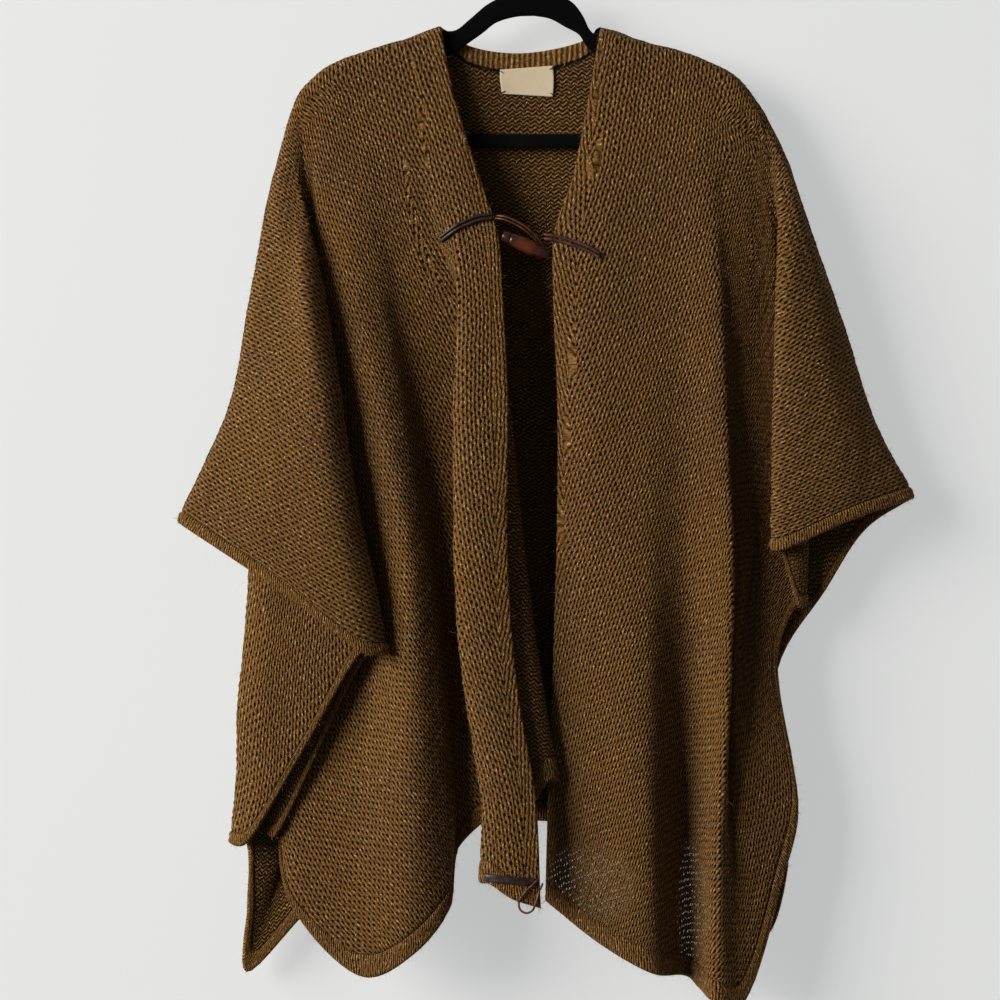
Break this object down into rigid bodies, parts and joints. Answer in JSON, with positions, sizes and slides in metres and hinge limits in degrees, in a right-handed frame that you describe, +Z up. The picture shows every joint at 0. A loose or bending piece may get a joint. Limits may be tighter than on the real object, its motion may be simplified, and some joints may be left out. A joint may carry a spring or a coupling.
{
  "type": "knitted poncho on a hanger",
  "caption": "Open-front knitted poncho hanging in folds on a flocked hanger, closed at the chest by a horn toggle and leather laces.",
  "frame": {"origin": "inner top of the hanger's hook, where a rail carries it", "axes": "+Z up, -Y towards the garment's front and the viewer, +X to the viewer's right (the wearer's left)"},
  "size_m": [0.702, 0.1022, 1.0399],
  "materials": {
    "knit": "heathered brown tuck-stitch wool knit",
    "flock": "black flocking over moulded plastic",
    "wire": "plated steel wire",
    "label": "bare cream woven tape",
    "horn": "polished brown horn",
    "leather": "dark brown leather thong"
  },
  "bodies": {
    "root": {"back": "knit", "back_hem": "knit", "right_front": "knit", "right_front_hem": "knit", "left_front": "knit", "left_front_hem": "knit", "hanger": "flock", "hook": "wire", "label": "label", "toggle": "horn", "toggle_loop_upper": "leather", "toggle_loop_lower": "leather", "lace_right_upper": "leather", "lace_right_lower": "leather", "lace_left_upper": "leather", "lace_left_lower": "leather", "hem_lace": "leather", "hem_loop": "leather"}
  },
  "joints": []
}
